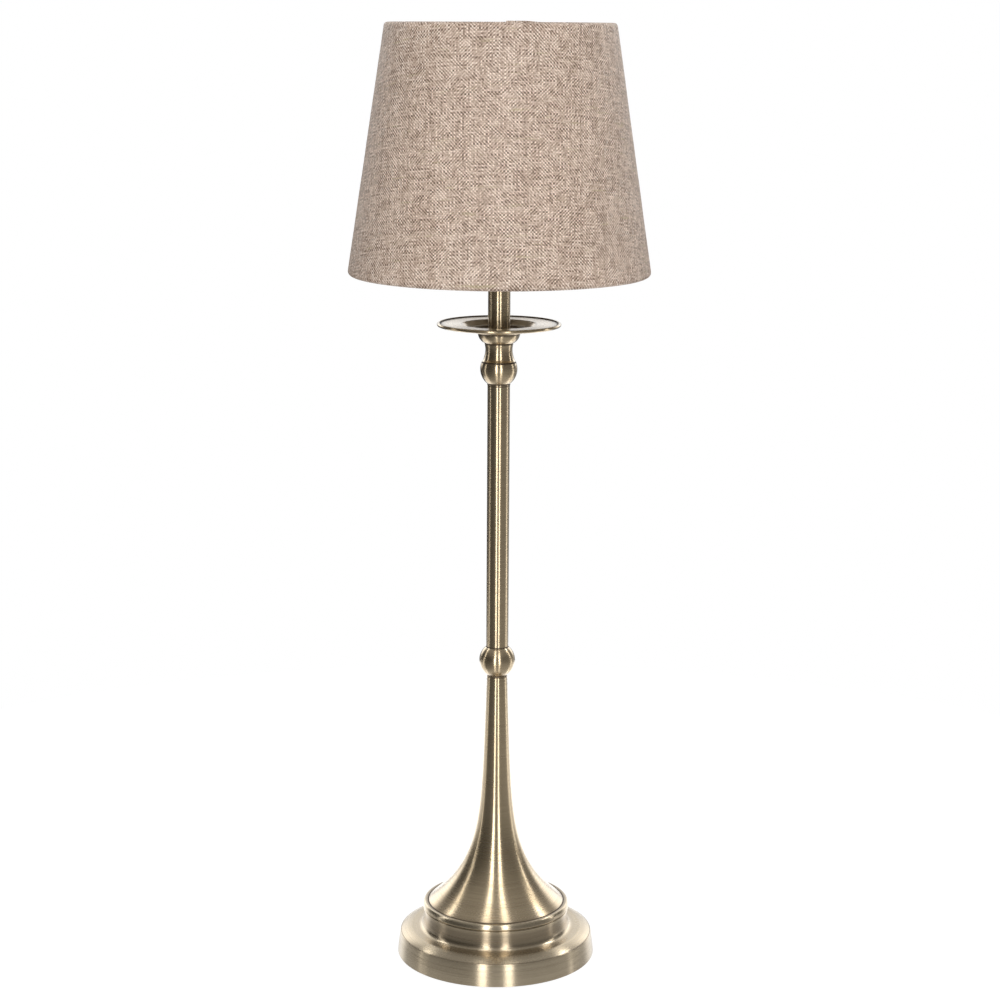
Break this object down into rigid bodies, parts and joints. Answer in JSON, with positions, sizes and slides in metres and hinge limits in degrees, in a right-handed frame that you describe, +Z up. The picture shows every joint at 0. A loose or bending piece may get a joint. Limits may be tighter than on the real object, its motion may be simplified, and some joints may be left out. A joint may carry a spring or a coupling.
{
  "type": "candlestick table lamp",
  "caption": "Candlestick table lamp: spun base and trumpet stem, ball-jointed column, drip pan, candle tube, screw lampholder and a tapered linen shade clamped by rings.",
  "frame": {"origin": "middle of the foot pad's underside", "axes": "+Z up the stem; -Y is the front; the cord inlet is at the back, +Y"},
  "size_m": [0.2024, 0.2032, 0.646],
  "materials": {
    "antique_brass": "antique brass, turned and lacquered, fine rings",
    "cast_weight": "raw casting",
    "zinc_steel": "zinc plated",
    "foam_pad": "black foam, matt",
    "black_plastic": "moulded, matt",
    "holder_plastic": "moulded thermoset, satin",
    "holder_ceramic": "glazed, cream",
    "nickel_shell": "nickel plated, bright",
    "contact_brass": "bright brass",
    "white_wire": "white epoxy paint",
    "shade_liner": "white film, matt",
    "linen": "plain weave of taupe linen",
    "black_glass": "black glass bead",
    "clear_glass": "clear",
    "phosphor": "yellow phosphor, matt"
  },
  "bodies": {
    "stand": {"base_pad": "foam_pad", "base_shell": "antique_brass", "base_weight": "cast_weight", "bottom_washer": "zinc_steel", "bottom_nut": "zinc_steel", "threaded_rod": "zinc_steel", "cord_inlet_bush": "black_plastic", "trumpet_stem": "antique_brass", "trumpet_collar": "zinc_steel", "lower_ball": "antique_brass", "column_tube": "antique_brass", "column_bush_lower": "black_plastic", "column_bush_upper": "black_plastic", "upper_ball": "antique_brass", "vase_neck": "antique_brass", "pan_cup": "antique_brass", "drip_pan": "antique_brass", "candle_tube": "antique_brass", "candle_bush_lower": "black_plastic", "candle_bush_upper": "black_plastic", "top_washer": "zinc_steel", "holder_cap": "holder_plastic", "holder_sleeve": "holder_plastic", "holder_core": "holder_ceramic", "holder_screw_shell": "nickel_shell", "holder_contact": "contact_brass", "terminal_screws": "contact_brass"},
    "ring_below": {"lower_shade_ring": "holder_plastic"},
    "shade": {"shade_fitter": "white_wire", "shade_bottom_hoop": "white_wire", "shade_top_hoop": "white_wire", "shade_lining": "shade_liner", "shade_fabric": "linen"},
    "ring_above": {"upper_shade_ring": "holder_plastic"},
    "lamp_tip": {"lamp_contact": "contact_brass"},
    "lamp": {"lamp_insulator": "black_glass", "lamp_cap": "nickel_shell", "lamp_glass": "clear_glass", "lamp_stem": "clear_glass", "filament_wires": "contact_brass", "filaments": "phosphor"}
  },
  "joints": [
    {"name": "shade_turn", "type": "hinge", "parent": "stand", "child": "ring_below", "pos_m": [0, 0, 0.5011], "axis": [0, 0, 1], "continuous": true},
    {"name": "shade_lift", "type": "slide", "parent": "ring_below", "child": "shade", "axis": [0, 0, 1], "range_m": [0, 0.12]},
    {"name": "ring_turn", "type": "hinge", "parent": "shade", "child": "ring_above", "pos_m": [0, 0, 0.5085], "axis": [0, 0, 1], "continuous": true},
    {"name": "lamp_rise", "type": "slide", "parent": "stand", "child": "lamp_tip", "axis": [0, 0, 1], "range_m": [0, 0.01453]},
    {"name": "lamp_turn", "type": "hinge", "parent": "lamp_tip", "child": "lamp", "pos_m": [0, 0, 0.4979], "axis": [0, 0, 1], "range_deg": [0, 1440]}
  ],
  "couplings": [
    {"joint": "lamp_rise", "follows": "lamp_turn", "m_per_rad": 0.00057773}
  ]
}
